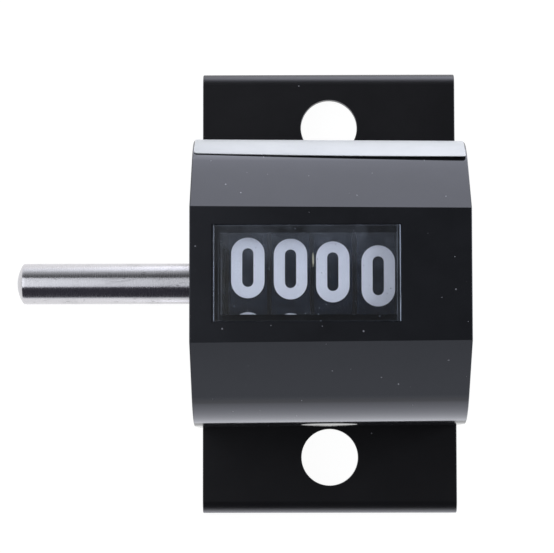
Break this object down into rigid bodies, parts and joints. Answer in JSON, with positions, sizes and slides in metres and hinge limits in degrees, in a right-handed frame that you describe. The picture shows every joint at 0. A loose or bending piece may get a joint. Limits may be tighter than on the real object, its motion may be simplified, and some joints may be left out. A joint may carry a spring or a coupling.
{
  "type": "mechanical revolution counter",
  "caption": "Small mechanical revolution counter: number wheels behind a window in a moulded casing, on a bent sheet bracket with screw holes, driven by a side shaft.",
  "frame": {"origin": "midway between the two mounting holes, on the front face of the bracket's web", "axes": "+Z points out of the window, +Y up the figures, +X along the shaft from the thousands to the units wheel, so the shaft leaves towards -X"},
  "size_m": [0.0329, 0.034, 0.022],
  "materials": {
    "casing_plastic": "polished mould finish",
    "bracket_paint": "semi-gloss black coating",
    "clear_pane": "clear plastic, lightly scratched",
    "shaft_steel": "turned",
    "spring_steel": "plain",
    "bush_bronze": "sintered",
    "brass": "rolled",
    "carrier_brass": "blackened, bare at a burr",
    "wheel_plastic": "fine mould finish",
    "figure_ink": "printed",
    "pinion_plastic": "natural",
    "label_white": "printed film"
  },
  "bodies": {
    "housing": {"bracket": "bracket_paint", "casing": "casing_plastic", "window_pane": "clear_pane", "end_plate": "casing_plastic", "shaft_bush": "bush_bronze", "tail_bush": "bush_bronze", "anchor_rod": "shaft_steel", "label": "label_white", "units_carrier": "carrier_brass", "tens_carrier": "carrier_brass", "hundreds_carrier": "carrier_brass", "thousands_carrier": "carrier_brass"},
    "shaft": {"drive_shaft": "shaft_steel", "retaining_ring": "spring_steel", "thrust_washer": "spring_steel", "spring_washer": "spring_steel", "drive_disc": "brass", "drive_pin": "shaft_steel"},
    "units_wheel": {"units_wheel": "wheel_plastic", "units_figures": "figure_ink"},
    "units_pinion": {"units_pinion": "pinion_plastic"},
    "tens_wheel": {"tens_wheel": "wheel_plastic", "tens_figures": "figure_ink"},
    "tens_pinion": {"tens_pinion": "pinion_plastic"},
    "hundreds_wheel": {"hundreds_wheel": "wheel_plastic", "hundreds_figures": "figure_ink"},
    "hundreds_pinion": {"hundreds_pinion": "pinion_plastic"},
    "thousands_wheel": {"thousands_wheel": "wheel_plastic", "thousands_figures": "figure_ink"},
    "thousands_pinion": {"thousands_pinion": "pinion_plastic"}
  },
  "joints": [
    {"name": "shaft_spin", "type": "hinge", "parent": "housing", "child": "shaft", "pos_m": [0, 0, 0.0093], "axis": [1, 0, 0], "continuous": true},
    {"name": "units_wheel_spin", "type": "hinge", "parent": "housing", "child": "units_wheel", "pos_m": [0.00309, 0, 0.0093], "axis": [1, 0, 0], "continuous": true},
    {"name": "units_pinion_spin", "type": "hinge", "parent": "housing", "child": "units_pinion", "pos_m": [0.00459, 0, 0.0044], "axis": [1, 0, 0], "continuous": true},
    {"name": "tens_wheel_spin", "type": "hinge", "parent": "housing", "child": "tens_wheel", "pos_m": [0.00009, 0, 0.0093], "axis": [1, 0, 0], "continuous": true},
    {"name": "tens_pinion_spin", "type": "hinge", "parent": "housing", "child": "tens_pinion", "pos_m": [0.00159, 0, 0.0044], "axis": [1, 0, 0], "continuous": true},
    {"name": "hundreds_wheel_spin", "type": "hinge", "parent": "housing", "child": "hundreds_wheel", "pos_m": [-0.00291, 0, 0.0093], "axis": [1, 0, 0], "continuous": true},
    {"name": "hundreds_pinion_spin", "type": "hinge", "parent": "housing", "child": "hundreds_pinion", "pos_m": [-0.00141, 0, 0.0044], "axis": [1, 0, 0], "continuous": true},
    {"name": "thousands_wheel_spin", "type": "hinge", "parent": "housing", "child": "thousands_wheel", "pos_m": [-0.00591, 0, 0.0093], "axis": [1, 0, 0], "continuous": true},
    {"name": "thousands_pinion_spin", "type": "hinge", "parent": "housing", "child": "thousands_pinion", "pos_m": [-0.00441, 0, 0.0044], "axis": [1, 0, 0], "continuous": true}
  ],
  "couplings": [
    {"joint": "units_wheel_spin", "follows": "shaft_spin", "ratio": 0.1},
    {"joint": "units_pinion_spin", "follows": "shaft_spin", "ratio": -0.25},
    {"joint": "tens_wheel_spin", "follows": "shaft_spin", "ratio": 0.01},
    {"joint": "tens_pinion_spin", "follows": "shaft_spin", "ratio": -0.025},
    {"joint": "hundreds_wheel_spin", "follows": "shaft_spin", "ratio": 0.001},
    {"joint": "hundreds_pinion_spin", "follows": "shaft_spin", "ratio": -0.0025},
    {"joint": "thousands_wheel_spin", "follows": "shaft_spin", "ratio": 0.0001},
    {"joint": "thousands_pinion_spin", "follows": "shaft_spin", "ratio": -0.00025}
  ]
}
